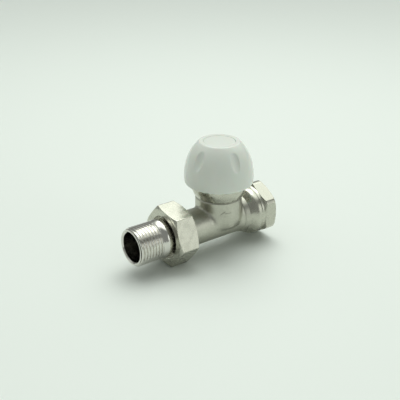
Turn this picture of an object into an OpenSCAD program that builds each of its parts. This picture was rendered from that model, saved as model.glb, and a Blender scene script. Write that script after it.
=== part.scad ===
// Straight radiator valve, half inch, with a manual handwheel and a union tailpiece.
// Origin on the run axis where the inlet's full thread starts, just inside the mouth.
// +X leaves the inlet, +Z runs up the stem. Inside the modules the stem axis is x = 0
// and the run axis is z = 0.

/* [Run] */
// Stem axis to the mouth of the inlet
inlet_reach = 31.3; // [31:0.1:40]
// Stem axis to the free end of the tailpiece
tail_reach = 58; // [56:0.5:80]
// Stem axis to the sealing face of the body under the union nut
face_reach = 32.6; // [32:0.2:34]
// Outer radius of the outlet tube of the body
tube_r = 10.1; // [9.8:0.1:10.6]
// Bore radius of the outlet tube
outlet_bore_r = 7.2; // [6.5:0.1:7.8]
// Bore radius between the inlet thread and the seat
inlet_bore_r = 7.8; // [7:0.1:8.2]

/* [Inlet hexagon] */
// Width across the flats of the inlet hexagon
inlet_flats = 27.8; // [27:0.1:30]
// Radius that the corners of the inlet hexagon are turned to
inlet_corner_r = 15.4; // [15.2:0.1:15.8]
// Radial chamfer at both ends of the inlet hexagon
inlet_hex_chamfer = 1.3; // [0.8:0.1:1.6]
// Length of the inlet hexagon
inlet_hex_len = 7.6; // [7:0.1:8]
// Outer radius of the half inch pipe thread
pipe_thread_r = 10.48; // [10.4:0.01:10.6]
// Length of the thread in the inlet
inlet_thread_len = 12.5; // [10:0.5:13.5]

/* [Union] */
// Width across the flats of the union nut
nut_flats = 30; // [29.6:0.1:32]
// Length of the union nut
nut_len = 12.2; // [11.8:0.1:13]
// Turn of the nut's flats about the run
nut_turn = 39.4; // [0:0.2:60]
// Outer radius of the union thread on the body
union_thread_r = 13.1; // [13:0.05:13.2]
// Length of the union thread on the body
union_thread_len = 5.6; // [5:0.1:6.4]
// Radial chamfer of the nut's corners
nut_chamfer = 1.9; // [1.4:0.1:2.2]
// Thickness of the lip that pulls the tailpiece
nut_lip_t = 2.5; // [2:0.1:3]
// Thread pitch of the union nut
union_pitch = 1.814; // [1.8:0.001:1.82]
// Turns the nut makes from tight to nearly off
union_turns = 3; // [1:0.5:3]

/* [Tailpiece] */
// Length of the outer thread of the tailpiece
tail_thread_len = 14.6; // [12:0.2:16]
// Bore radius at the mouth of the tailpiece
tail_bore_r = 8.2; // [7.6:0.1:8.4]
// Largest radius of the barrel-shaped shoulder in front of the nut
tail_shoulder_r = 10.8; // [10.7:0.05:11]
// Radius of the neck that passes through the nut
tail_neck_r = 10.3; // [10.2:0.05:10.6]
// Radius of the collar that the nut pulls on
tail_collar_r = 12.1; // [12:0.05:12.4]
// Thickness of that collar
tail_collar_t = 2.5; // [2.2:0.1:2.8]
// Radius of the spigot that enters the body
spigot_r = 9.2; // [9.1:0.05:9.4]
// Length of the spigot
spigot_len = 3.4; // [3.2:0.1:3.6]
// Height of the two key lugs inside the bore
lug_h = 1.3; // [1:0.1:1.6]
// Distance of the lugs from the free end
lug_reach = 6; // [4:0.5:10]

/* [Chamber] */
// Outer radius of the valve chamber
chamber_r = 12.95; // [12.9:0.05:13.6]
// Height of the chamber's rim above the run axis
rim_z = 15; // [14.8:0.1:16]
// Inner radius of the chamber
chamber_bore_r = 9.2; // [9:0.1:9.6]
// Radius of the orifice in the seat
orifice_r = 5; // [4.5:0.1:5.4]
// Height of the raised lip round the orifice
seat_lip_h = 1; // [0.6:0.1:1.4]
// Thickness of the wall between the two sides of the seat
seat_wall = 2.4; // [2:0.1:2.6]
// Wall under the lower passage
floor_wall = 1.8; // [1.5:0.1:2]

/* [Headwork] */
// Radius of the thread that holds the bonnet in the body
bonnet_thread_r = 10.4; // [10.2:0.05:10.5]
// Height of the bonnet's collar up to the head thread
bonnet_collar_h = 7.2; // [6.6:0.1:8]
// Radius of the collar at its top edge
bonnet_flare_r = 15.1; // [14.8:0.1:15.4]
// Outer radius of the thread that takes the head
head_thread_r = 14; // [13.9:0.05:14.1]
// Height of the top of the bonnet above the run axis
bonnet_top_z = 28; // [27.8:0.1:29]
// Radius of the lower stem
stem_r = 2; // [1.9:0.05:2.1]
// Radius of the pin at the top of the stem
pin_r = 1.5; // [1.4:0.05:1.6]
// Height of the pin's top above the bonnet when closed
pin_proud = 1.4; // [1.2:0.1:1.6]
// Thickness of the rubber disc
disc_t = 2.2; // [1.8:0.1:2.4]
// Radius of the rubber disc
disc_r = 6.9; // [6.8:0.05:7.1]
// Thickness of the disc holder's plate
holder_t = 2; // [1.6:0.1:2.2]
// Length of the return spring when closed
spring_len = 6.3; // [6:0.1:6.6]
// Wire radius of the return spring
spring_wire_r = 0.45; // [0.35:0.05:0.5]
// Mean radius of the return spring
spring_r = 3.6; // [3.5:0.05:3.8]
// Turns of the return spring
spring_turns = 5; // [4:0.5:5.5]

/* [Handwheel] */
// Height of the handwheel's lower rim above the run axis
wheel_rim_z = 23; // [22.8:0.1:24]
// Height of the handwheel's flat top above the run axis
wheel_top_z = 46.4; // [45.8:0.1:47.4]
// Radius of the handwheel at its lower rim
wheel_rim_r = 18.7; // [18.6:0.05:19.2]
// Widest radius of the dome
wheel_r = 19.1; // [19:0.05:19.6]
// Height above the run axis at which the dome is widest
wheel_wide_z = 26.5; // [26:0.1:27.5]
// Wall of the handwheel
wheel_wall = 1.9; // [1.6:0.1:2]
// Radius of the round cap in the top
cap_r = 8.6; // [8.2:0.1:9]
// Number of finger flutes
flute_count = 5; // [3:1:8]
// Direction of the first flute about the stem
flute_turn = -7; // [-180:1:180]
// Height of the middle of a flute above the run axis
flute_z = 39.2; // [37:0.1:41]
// Length of a flute along the dome
flute_len = 11.2; // [9:0.2:12.4]
// Depth of a flute at its middle
flute_depth = 1.3; // [1.1:0.1:1.7]
// Radius of a flute across its length
flute_r = 3.5; // [2:0.1:4]
// Pitch of the drive screw's thread
drive_pitch = 1.5; // [1:0.1:1.5]
// Turns of the handwheel from closed to open
drive_turns = 2; // [1:0.25:2]
// Outer radius of the drive screw's thread
drive_r = 6; // [5.8:0.05:6.2]

/* [Fits] */
// Radial gap of a sliding or turning fit
fit_gap = 0.06; // [0.04:0.01:0.1]
// Radial gap of a tightened thread
thread_gap = 0.05; // [0.02:0.01:0.1]
// Gap of pieces that pass each other freely
free_gap = 0.3; // [0.2:0.05:0.4]

/* [Hidden] */
$fn = 96;
cut = 0.5;               // how far a cutter runs past the face it opens
mouth_chamfer = 0.5;
lift = drive_pitch * drive_turns;
origin_x = inlet_reach - mouth_chamfer;

// Heights of the stack on the stem, valve closed, seat lip at z = 0
floor_z = -seat_lip_h;
passage_floor_z = floor_wall - tube_r;
seat_lip_w = 1.3;
outlet_passage_r = 4;
holder_top_z = disc_t + holder_t;
bonnet_foot_z = holder_top_z + lift + free_gap;
spring_floor_t = 1.6;
spring_z = bonnet_foot_z + spring_floor_t;
plate_z = spring_z + spring_len;
plate_t = 0.8;
clip_z = plate_z + plate_t;
clip_t = 0.6;
stem_step_z = clip_z + clip_t + 0.2;
gland_z = stem_step_z + lift + free_gap;
pin_top_z = bonnet_top_z + pin_proud;
collar_top_z = rim_z + bonnet_collar_h;

// Radii round the stem
holder_r = disc_r + 1;
disc_bolt_r = 1.5;
spring_room_r = 4.9;
gland_r = 5.5;
gland_head_flats = 10.4;
gland_head_t = 2.2;
bonnet_seal_wire_r = 0.75;
bonnet_groove_r = bonnet_thread_r - 0.4;
bonnet_seal_room_r = bonnet_groove_r + 2 * bonnet_seal_wire_r;
bonnet_seal_z = rim_z - bonnet_seal_wire_r - 0.2;
body_thread_foot_z = rim_z - 7;

// Head that carries the drive screw
head_plate_t = 2.2;
head_base_r = wheel_rim_r - wheel_wall - 2 * free_gap;
head_hub_r = 8;
head_hub_top_z = bonnet_top_z + head_plate_t + 6.8;
spindle_shoulder_z = head_hub_top_z + 1.2;
serration_r = 4;
serration_top_z = spindle_shoulder_z + 3.5;
screw_r = 1.5;
screw_len = 8;
washer_t = 0.5;
cap_t = 1.3;
cap_seat_z = wheel_top_z - cap_t;
wheel_boss_r = 6.4;
screw_room_r = 5.1;
screw_floor_z = serration_top_z + free_gap;

// Places along the run, measured from the stem axis towards the tail
collar_face = face_reach;
collar_back = collar_face + tail_collar_t;
nut_front = collar_back + nut_lip_t;
nut_back = nut_front - nut_len;
tail_thread_end = tail_reach - tail_thread_len;
nut_hole_r = tail_shoulder_r + 2 * free_gap;
nut_bore_r = union_thread_r + fit_gap;
hex_start = inlet_reach - inlet_hex_len;
thread_foot_x = origin_x - inlet_thread_len;
throat_x = chamber_bore_r + 2.3;

// A revolved form whose profile gives [distance along the run, radius]
module along_run(profile) rotate([0, 90, 0]) rotate_extrude() polygon([for (p = profile) [p[1], p[0]]]);

// A round rod along the run from one distance to another
module run_rod(from, to, r) translate([from, 0, 0]) rotate([0, 90, 0]) cylinder(h = to - from, r = r);

// A round rod along the stem from one height to another
module stem_rod(from, to, r) translate([0, 0, from]) cylinder(h = to - from, r = r);

// A flat ring along the stem
module stem_ring(from, to, inner_r, outer_r) difference() {
    stem_rod(from, to, outer_r);
    stem_rod(from - cut, to + cut, inner_r);
}

// An O-ring about the stem: mean radius and wire radius
module o_ring(z, mean_r, wire_r) translate([0, 0, z])
    rotate_extrude() translate([mean_r, 0]) circle(wire_r, $fn = 32);

// Points of an arc from one angle to another
function arc(cx, cy, r, from, to, steps = 8) =
    [for (i = [0:steps]) let (a = from + (to - from) * i / steps) [cx + r * cos(a), cy + r * sin(a)]];

// Radius over the corners of a hexagon
function corner_r(flats) = flats / 2 / cos(30);

// A hexagonal prism along the run with both ends chamfered at 30 degrees
module run_hexagon(from, to, flats, turned_r, chamfer) intersection() {
    slope = chamfer * tan(30);
    translate([from, 0, 0]) rotate([0, 90, 0]) cylinder(h = to - from, r = corner_r(flats), $fn = 6);
    along_run([[from, 0], [from, turned_r - chamfer], [from + slope, turned_r], [to - slope, turned_r],
        [to, turned_r - chamfer], [to, 0]]);
}

// A cutter for the chamfer round a hole's mouth at x = at, opening towards the side
module mouth_cutter(at, side, r, chamfer) along_run([[at - side * chamfer, 0], [at - side * chamfer, r],
    [at + side * cut, r + chamfer + cut], [at + side * cut, 0]]);

// A passage along the run with round sides, as high as 2 r
module wide_passage(from, to, mid_z, r, side_step) translate([0, 0, mid_z]) {
    for (side = [-1, 1]) translate([0, side * side_step, 0]) run_rod(from, to, r);
    translate([from, -side_step, -r]) cube([to - from, 2 * side_step, 2 * r]);
}

// Outer form of the waist between the chamber and the inlet hexagon: a step, a flare
// that swells into a round bead, and a shallow groove before the hexagon
waist_step_x = chamber_r - 1.15;
waist_flare_x = chamber_r + 1.65;
waist_root_r = tube_r + 0.75;
waist_foot_r = tube_r + 1.2;
bead_r = inlet_flats / 2;
bead_x = hex_start - 3.6;
groove_depth = 0.25;
waist_steps = 8;
function waist_profile() = concat(
    [[0, 0], [0, tube_r], [waist_step_x - 2, tube_r + 0.1], [waist_step_x - 0.2, tube_r + 0.4],
    [waist_step_x, waist_root_r]],
    [for (i = [0:waist_steps]) let (t = i / waist_steps) [waist_flare_x + (bead_x - waist_flare_x) * t,
        waist_foot_r + (bead_r - waist_foot_r) * sin(90 * pow(t, 1.15))]],
    [[bead_x + 1.2, bead_r], [bead_x + 1.8, bead_r - groove_depth], [hex_start - 0.9, bead_r - groove_depth],
    [hex_start, bead_r - 0.05], [hex_start + 1, bead_r - 0.05], [hex_start + 1, 0]]);

// Outer form of the body: chamber, outlet tube, waist and inlet hexagon in one casting
chamber_foot_z = -2;
bottom_round = 4;
union_lead = 0.7;
module body_outside() {
    rotate_extrude() polygon(concat([[0, chamber_foot_z]],
        arc(chamber_r - bottom_round, chamber_foot_z + bottom_round, bottom_round, -90, 0),
        [[chamber_r, rim_z - 0.7], [chamber_r - 0.5, rim_z], [0, rim_z]]));
    run_rod(-face_reach + 1, 0, tube_r);
    // Union thread, with a run-out behind it
    thread_foot = -face_reach + union_thread_len;
    along_run([[-face_reach, 0], [-face_reach, union_thread_r - union_lead],
        [-face_reach + union_lead, union_thread_r], [thread_foot, union_thread_r],
        [thread_foot + 0.8, tube_r + 1], [thread_foot + 1.6, tube_r], [thread_foot + 1.6, 0]]);
    along_run(waist_profile());
    run_hexagon(hex_start, inlet_reach, inlet_flats, inlet_corner_r, inlet_hex_chamfer);
}

// Cast arrow that shows the flow, raised from the chamber's front
arrow_z = 8.2;
arrow_turn = -20;
arrow_rise = 0.35;
arrow_len = 6.6;
arrow_w = 4;
module flow_arrow() intersection() {
    neck = arrow_len / 2 - 2.8;
    rotate([0, 0, arrow_turn]) translate([0, 0, arrow_z]) rotate([90, 0, 0])
        linear_extrude(chamber_r + arrow_rise) polygon([[-arrow_len / 2, 0], [-neck, -arrow_w / 2],
            [-neck, -arrow_w / 5], [arrow_len / 2, -arrow_w / 5], [arrow_len / 2, arrow_w / 5],
            [-neck, arrow_w / 5], [-neck, arrow_w / 2]]);
    stem_ring(arrow_z - arrow_w, arrow_z + arrow_w, chamber_r - arrow_rise, chamber_r + arrow_rise);
}

// Lower passage and the round pocket under the seat, kept clear of the tube's skin
module lower_passage() intersection() {
    roof_z = floor_z - seat_wall;
    passage_r = (roof_z - passage_floor_z) / 2;
    union() {
        wide_passage(0, throat_x + cut, passage_floor_z + passage_r, passage_r, 2);
        stem_rod(passage_floor_z, roof_z, orifice_r + 1);
    }
    run_rod(-throat_x, throat_x + 2 * cut, tube_r - floor_wall);
}

module valve_body() color("silver") difference() {
    union() {
        body_outside();
        flow_arrow();
    }
    // Inlet thread with its mouth chamfer, then the bore to the seat
    run_rod(thread_foot_x, inlet_reach + cut, pipe_thread_r);
    mouth_cutter(inlet_reach, 1, pipe_thread_r, mouth_chamfer);
    run_rod(throat_x, thread_foot_x + cut, inlet_bore_r);
    lower_passage();
    stem_rod(floor_z - seat_wall - cut, cut, orifice_r);
    // Chamber above the seat, with the seat's raised lip left standing
    difference() {
        stem_rod(floor_z, rim_z + cut, chamber_bore_r);
        stem_rod(floor_z - cut, 0, orifice_r + seat_lip_w);
    }
    stem_rod(body_thread_foot_z, rim_z + cut, bonnet_thread_r + thread_gap);
    stem_rod(bonnet_seal_z - bonnet_seal_wire_r - 0.1, rim_z + cut, bonnet_seal_room_r);
    // Outlet: passage above the seat wall, tube bore and the union's counterbore
    wide_passage(-throat_x - cut, -orifice_r - seat_lip_w - 1, floor_z + outlet_passage_r,
        outlet_passage_r, 2);
    run_rod(-face_reach - cut, -throat_x, outlet_bore_r);
    run_rod(-face_reach - cut, -face_reach + spigot_len + free_gap, spigot_r + fit_gap);
}

// Bonnet: screwed into the body, flared collar, then the thread for the head
notch_w = 3.2;
notch_depth = 1.5;
module bonnet() color("lightgray") difference() {
    flare_steps = 8;
    flare_start_z = rim_z + 0.5;
    flare_foot_r = chamber_r + 0.3;
    neck_r = chamber_bore_r - free_gap;
    groove_top_z = bonnet_seal_z - bonnet_seal_wire_r;
    lead = 0.7;
    rotate_extrude() polygon(concat(
        [[0, bonnet_foot_z], [neck_r - 0.6, bonnet_foot_z], [neck_r, bonnet_foot_z + 0.6],
        [neck_r, body_thread_foot_z + 0.4], [bonnet_thread_r, body_thread_foot_z + 1.4],
        [bonnet_thread_r, groove_top_z - 0.2], [bonnet_groove_r, groove_top_z],
        [bonnet_groove_r, rim_z], [flare_foot_r - 0.5, rim_z]],
        [for (i = [0:flare_steps]) let (t = i / flare_steps)
            [flare_foot_r + (bonnet_flare_r - flare_foot_r) * sin(90 * t),
            flare_start_z + (collar_top_z - 1 - flare_start_z) * t]],
        [[bonnet_flare_r, collar_top_z], [head_thread_r - lead, collar_top_z],
        [head_thread_r - lead, collar_top_z + 0.6], [head_thread_r, collar_top_z + 1.2],
        [head_thread_r, bonnet_top_z - lead], [head_thread_r - lead, bonnet_top_z], [0, bonnet_top_z]]));
    stem_rod(bonnet_foot_z - cut, spring_z + cut, stem_r + fit_gap);
    stem_rod(spring_z, gland_z + cut, spring_room_r);
    stem_rod(gland_z, bonnet_top_z + cut, gland_r + thread_gap);
    stem_rod(bonnet_top_z - gland_head_t - free_gap, bonnet_top_z + cut,
        corner_r(gland_head_flats) + free_gap);
    // Notches for the spanner
    for (turn = [0, 90]) rotate([0, 0, turn])
        translate([-head_thread_r - cut, -notch_w / 2, bonnet_top_z - notch_depth])
            cube([2 * (head_thread_r + cut), notch_w, notch_depth + cut]);
}

module bonnet_seal() color("dimgray")
    o_ring(bonnet_seal_z, bonnet_groove_r + bonnet_seal_wire_r, bonnet_seal_wire_r);

// Gland: closes the spring room, seals the pin and is sealed in the bonnet
gland_seal_wire_r = 0.85;
gland_outer_wire_r = 0.5;
gland_seal_z = gland_z + 2.6;
gland_outer_z = gland_z + 1.2;
seal_room = 0.05;
module gland_nut() color("goldenrod") difference() {
    head_z = bonnet_top_z - gland_head_t;
    inner_room = gland_seal_wire_r + seal_room;
    outer_room = gland_outer_wire_r + seal_room;
    union() {
        stem_rod(gland_z, head_z, gland_r);
        stem_rod(head_z - free_gap, bonnet_top_z - 0.4, corner_r(gland_head_flats), $fn = 6);
    }
    stem_rod(gland_z - cut, bonnet_top_z + cut, pin_r + fit_gap);
    stem_rod(gland_seal_z - inner_room, gland_seal_z + inner_room, pin_r + fit_gap + 2 * gland_seal_wire_r);
    stem_ring(gland_outer_z - outer_room, gland_outer_z + outer_room,
        gland_r + thread_gap - 2 * gland_outer_wire_r, gland_r + 1);
}

module gland_seal() color("dimgray")
    o_ring(gland_seal_z, pin_r + fit_gap + gland_seal_wire_r, gland_seal_wire_r);

module gland_outer_seal() color("dimgray")
    o_ring(gland_outer_z, gland_r + thread_gap - gland_outer_wire_r, gland_outer_wire_r);

// Return spring: a round wire swept along a helix whose end turns lie close
module return_spring() {
    sides = 8;
    rings = ceil(spring_turns * 16);
    seat_gap = 0.02;
    foot = spring_z + spring_wire_r + seat_gap;
    rise = spring_len - 2 * (spring_wire_r + seat_gap);
    end_pitch = 2 * (spring_wire_r + seat_gap);
    mid_pitch = (rise - 2 * end_pitch) / (spring_turns - 2);
    function climb(turns) = turns < 1 ? end_pitch * turns
        : turns > spring_turns - 1 ? rise - end_pitch * (spring_turns - turns)
        : end_pitch + mid_pitch * (turns - 1);
    points = [for (i = [0:rings]) let (turns = spring_turns * i / rings)
        for (j = [0:sides - 1]) let (a = 360 * j / sides, r = spring_r + spring_wire_r * cos(a))
            [r * cos(360 * turns), r * sin(360 * turns), foot + climb(turns) + spring_wire_r * sin(a)]];
    walls = [for (i = [0:rings - 1]) for (j = [0:sides - 1]) let (k = (j + 1) % sides)
        [i * sides + j, i * sides + k, (i + 1) * sides + k, (i + 1) * sides + j]];
    ends = [[for (j = [sides - 1:-1:0]) j], [for (j = [0:sides - 1]) rings * sides + j]];
    color("gray") polyhedron(points, concat(walls, ends));
}

// Stem: nut thread, guided shank, clip groove and the pin that leaves the gland
disc_nut_t = 1.8;
disc_nut_flats = 5;
disc_washer_t = 0.5;
clip_depth = 0.5;
stem_foot_z = -disc_washer_t - disc_nut_t - 0.4;
pin_round = 0.3;
module stem() color("lightsteelblue") rotate_extrude() polygon([
    [0, stem_foot_z], [disc_bolt_r, stem_foot_z], [disc_bolt_r, holder_top_z], [stem_r, holder_top_z],
    [stem_r, clip_z], [stem_r - clip_depth, clip_z], [stem_r - clip_depth, clip_z + clip_t],
    [stem_r, clip_z + clip_t], [stem_r, stem_step_z], [pin_r, stem_step_z],
    [pin_r, pin_top_z - pin_round], [pin_r - pin_round, pin_top_z], [0, pin_top_z]]);

// Open retaining clip in the stem's groove
module stem_clip() color("dimgray") difference() {
    slot_w = 1.4 * stem_r;
    stem_ring(clip_z, clip_z + clip_t, stem_r - clip_depth + thread_gap, stem_r + 1.3);
    translate([0, -slot_w / 2, clip_z - cut]) cube([stem_r + 2, slot_w, clip_t + 2 * cut]);
}

module spring_plate() color("silver")
    stem_ring(plate_z, clip_z, stem_r + thread_gap, spring_room_r - free_gap);

// Brass cup that holds the rubber disc
module disc_holder() color("goldenrod") difference() {
    bevel = 0.8;
    rotate_extrude() polygon([[0, disc_t * 0.4], [holder_r, disc_t * 0.4], [holder_r, holder_top_z - bevel],
        [holder_r - bevel, holder_top_z], [0, holder_top_z]]);
    stem_rod(0, disc_t, disc_r + thread_gap);
    stem_rod(0, holder_top_z + cut, disc_bolt_r + thread_gap);
}

module valve_disc() color("black") stem_ring(0, disc_t, disc_bolt_r + thread_gap, disc_r);

module disc_washer() color("silver")
    stem_ring(-disc_washer_t, 0, disc_bolt_r + thread_gap, orifice_r - 1.2);

module disc_nut() color("goldenrod") difference() {
    stem_rod(-disc_washer_t - disc_nut_t, -disc_washer_t, corner_r(disc_nut_flats), $fn = 6);
    stem_rod(-disc_washer_t - disc_nut_t - cut, -disc_washer_t + cut, disc_bolt_r + thread_gap);
}

// Head base: screwed onto the bonnet, with the threaded hub for the drive screw
grip_count = 12;
grip_r = 1.6;
grip_depth = 0.6;
module head_base() color("whitesmoke") difference() {
    foot_z = wheel_rim_z + 2 * free_gap;
    plate_z = bonnet_top_z + head_plate_t;
    edge = 1.2;
    rotate_extrude() polygon([[0, foot_z], [head_base_r, foot_z], [head_base_r, plate_z - edge],
        [head_base_r - edge, plate_z], [head_hub_r + 1, plate_z], [head_hub_r, plate_z + 1],
        [head_hub_r, head_hub_top_z - 0.6], [head_hub_r - 0.6, head_hub_top_z], [0, head_hub_top_z]]);
    stem_rod(foot_z - cut, bonnet_top_z, head_thread_r + thread_gap);
    stem_rod(bonnet_top_z - cut, head_hub_top_z + cut, drive_r + fit_gap);
    // Grip notches round the skirt
    for (i = [0:grip_count - 1]) rotate([0, 0, i * 360 / grip_count])
        translate([head_base_r + grip_r - grip_depth, 0, foot_z - cut]) cylinder(h = 4 + cut, r = grip_r);
}

// A serrated rod that turns the handwheel and the drive screw together
serration_count = 18;
serration_depth = 0.35;
module serrated_rod(from, to, r) translate([0, 0, from]) linear_extrude(to - from)
    polygon([for (i = [0:2 * serration_count - 1]) let (a = i * 180 / serration_count)
        (r - (i % 2) * serration_depth) * [cos(a), sin(a)]]);

// Drive screw: presses the pin, threaded in the hub, serrated under the handwheel
module drive_screw() color("goldenrod") difference() {
    lead = 0.8;
    union() {
        rotate_extrude() polygon([[0, pin_top_z], [drive_r - lead, pin_top_z], [drive_r, pin_top_z + lead],
            [drive_r, spindle_shoulder_z], [0, spindle_shoulder_z]]);
        serrated_rod(spindle_shoulder_z - cut, serration_top_z, serration_r);
    }
    stem_rod(serration_top_z - screw_len, serration_top_z + cut, screw_r + thread_gap);
}

// Radius of the handwheel's dome at a height above the run axis: a slight swell over
// the rim, then a full rounded crown
crown_h = 24;
crown_power = 2.08;
function dome_r(z) = z < wheel_wide_z
    ? wheel_rim_r + (wheel_r - wheel_rim_r) * sin(90 * (z - wheel_rim_z) / (wheel_wide_z - wheel_rim_z))
    : wheel_r * pow(1 - pow((z - wheel_wide_z) / crown_h, crown_power), 1 / crown_power);

// Scoops for the fingers: each cutter is a ring outside the dome that dips into it
flute_slope = atan2(dome_r(flute_z - 1) - dome_r(flute_z + 1), 2);
flute_ring_r = 1 / (8 * flute_depth / pow(flute_len, 2) - 1 / crown_h) - flute_r;
module flute_cutters(grow) for (i = [0:flute_count - 1]) rotate([0, 0, flute_turn + i * 360 / flute_count])
    translate([0, -dome_r(flute_z), flute_z]) rotate([-flute_slope, 0, 0])
        translate([0, flute_depth - flute_r - flute_ring_r, 0]) rotate([0, 90, 0])
            rotate_extrude() translate([flute_ring_r, 0]) circle(flute_r + grow, $fn = 48);

// Handwheel: a thin dome with finger flutes, a boss for the drive screw and a recess for the cap
module handwheel_shell() {
    steps = 18;
    edge = 0.5;
    top_edge = 0.35;
    shoulder_z = wheel_top_z - top_edge;
    ceiling_z = cap_seat_z - 1.5;
    rib_t = 1.2;
    rib_reach = dome_r(ceiling_z) - wheel_wall;
    function outer(i) = let (z = wheel_rim_z + edge + (shoulder_z - wheel_rim_z - edge) * sin(90 * i / steps))
        [dome_r(z), z];
    function inner(i) = let (z = wheel_rim_z + (ceiling_z - wheel_rim_z) * sin(90 * i / steps))
        [min(dome_r(z), dome_r(z + wheel_wall * 0.8)) - wheel_wall, z];
    module dome() rotate_extrude() polygon(concat([[0, wheel_rim_z], [wheel_rim_r - edge, wheel_rim_z]],
        [for (i = [0:steps]) outer(i)],
        [[dome_r(shoulder_z) - 2 * top_edge, wheel_top_z], [0, wheel_top_z]]));
    color("white") difference() {
        union() {
            difference() {
                dome();
                rotate_extrude() polygon(concat([[0, wheel_rim_z - cut], [inner(0)[0], wheel_rim_z - cut]],
                    [for (i = [0:steps]) inner(i)], [[0, ceiling_z]]));
            }
            // The wall follows the flutes inside
            intersection() {
                dome();
                flute_cutters(wheel_wall - 0.4);
            }
            stem_rod(spindle_shoulder_z, ceiling_z + cut, wheel_boss_r);
            // Ribs from the boss to the dome
            for (i = [0:flute_count - 1]) rotate([0, 0, flute_turn + (i + 0.5) * 360 / flute_count])
                translate([-rib_t / 2, -rib_reach, spindle_shoulder_z + 1])
                    cube([rib_t, rib_reach - wheel_boss_r + 1, ceiling_z + cut - spindle_shoulder_z - 1]);
        }
        flute_cutters(0);
        serrated_rod(spindle_shoulder_z - cut, screw_floor_z + cut, serration_r + thread_gap);
        stem_rod(screw_floor_z, wheel_top_z, screw_room_r);
        stem_rod(cap_seat_z, wheel_top_z + cut, cap_r + thread_gap);
    }
}

module screw_washer() color("silver")
    stem_ring(screw_floor_z, screw_floor_z + washer_t, screw_r + thread_gap, screw_room_r - free_gap);

// Cross-recessed screw that holds the handwheel on the drive screw
module handwheel_screw() color("silver") difference() {
    head_z = screw_floor_z + washer_t;
    foot_z = serration_top_z - screw_len + 1;
    head_r = 2.9;
    head_h = 1.6;
    slot_w = 0.7;
    rotate_extrude() polygon([[0, foot_z], [screw_r - 0.3, foot_z], [screw_r, foot_z + 0.4],
        [screw_r, head_z], [head_r, head_z], [head_r, head_z + 0.9], [head_r - 1, head_z + head_h], [0, head_z + head_h]]);
    for (turn = [45, 135]) rotate([0, 0, turn])
        translate([1 - head_r, -slot_w / 2, head_z + 0.6]) cube([2 * (head_r - 1), slot_w, head_h]);
}

// Round cap that covers the screw, with a thin groove round its edge
module handwheel_cap() color("white") rotate_extrude() polygon([[0, cap_seat_z], [cap_r, cap_seat_z],
    [cap_r, wheel_top_z - 0.35], [cap_r - 0.35, wheel_top_z], [0, wheel_top_z]]);

// Outer form of the tailpiece, from the free end: thread, barrel-shaped shoulder, neck,
// collar and the spigot that enters the body. Each point is [distance from the stem, radius].
tail_chamfer = 0.9;
thread_root_r = pipe_thread_r - 0.5;
shoulder_steps = 8;
function tail_profile() = let (barrel_len = tail_thread_end - nut_front) concat(
    [[tail_reach, 0], [tail_reach, pipe_thread_r - tail_chamfer], [tail_reach - tail_chamfer, pipe_thread_r],
    [tail_thread_end, pipe_thread_r], [tail_thread_end, thread_root_r]],
    [for (i = [1:shoulder_steps]) let (t = i / shoulder_steps)
        [tail_thread_end - barrel_len * t, t < 0.5
            ? thread_root_r + (tail_shoulder_r - thread_root_r) * sin(180 * t)
            : tail_neck_r + (tail_shoulder_r - tail_neck_r) * (1 + cos(360 * (t - 0.5))) / 2]],
    [[collar_back, tail_neck_r], [collar_back, tail_collar_r - 0.3], [collar_back - 0.3, tail_collar_r],
    [collar_face, tail_collar_r], [collar_face, spigot_r], [collar_face - spigot_len + 0.6, spigot_r],
    [collar_face - spigot_len, spigot_r - 0.6], [collar_face - spigot_len, 0]]);

// Two lugs inside the tailpiece that a stepped key turns
lug_w = 2.4;
lug_len = 6;
module key_lugs() intersection() {
    run_rod(-tail_reach + lug_reach, -tail_reach + lug_reach + lug_len, tail_bore_r + 0.4);
    for (side = [0, 180]) rotate([side, 0, 0])
        translate([-tail_reach + lug_reach, -lug_w / 2, tail_bore_r - lug_h])
            cube([lug_len, lug_w, lug_h + cut]);
}

// Tailpiece: the pipe's half of the union
union_seal_wire_r = 0.55;
union_seal_x = collar_face - 1.75;
bore_step_x = collar_back + 3;
module tailpiece() color("gainsboro") union() {
    difference() {
        along_run([for (p = tail_profile()) [-p[0], p[1]]]);
        // Stepped bore with a chamfered mouth
        run_rod(-tail_reach - cut, -bore_step_x, tail_bore_r);
        mouth_cutter(-tail_reach, -1, tail_bore_r, 0.6);
        run_rod(-bore_step_x - cut, -collar_face + spigot_len + cut, outlet_bore_r);
        // Groove of the seal on the spigot
        half_w = union_seal_wire_r + seal_room;
        difference() {
            run_rod(-union_seal_x - half_w, -union_seal_x + half_w, spigot_r + cut);
            run_rod(-collar_face, -collar_face + spigot_len, spigot_r + fit_gap - 2 * union_seal_wire_r);
        }
    }
    key_lugs();
}

module union_seal() color("dimgray") translate([-union_seal_x, 0, 0]) rotate([0, 90, 0])
    o_ring(0, spigot_r + fit_gap - union_seal_wire_r, union_seal_wire_r - 0.02);

// Union nut: threaded on the body, its lip pulls the tailpiece's collar
module union_nut() color("silver") rotate([nut_turn, 0, 0]) difference() {
    run_hexagon(-nut_front, -nut_back, nut_flats, corner_r(nut_flats) + 0.01, nut_chamfer);
    run_rod(-nut_front - cut, -nut_back + cut, nut_hole_r);
    run_rod(-collar_back - 0.02, -nut_back + cut, nut_bore_r);
    mouth_cutter(-nut_front, -1, nut_hole_r, 0.4);
    mouth_cutter(-nut_back, 1, nut_bore_r, 0.8);
}

module placed() translate([-origin_x, 0, 0]) children();

placed() valve_body();
placed() bonnet();
placed() bonnet_seal();
placed() gland_nut();
placed() gland_seal();
placed() gland_outer_seal();
placed() return_spring();
placed() head_base();
placed() stem();
placed() stem_clip();
placed() spring_plate();
placed() disc_holder();
placed() valve_disc();
placed() disc_washer();
placed() disc_nut();
placed() drive_screw();
placed() handwheel_shell();
placed() screw_washer();
placed() handwheel_screw();
placed() handwheel_cap();
placed() tailpiece();
placed() union_seal();
placed() union_nut();
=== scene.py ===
"""Straight radiator valve: soft edges, threads, finishes and the studio around it."""

import math

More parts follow.
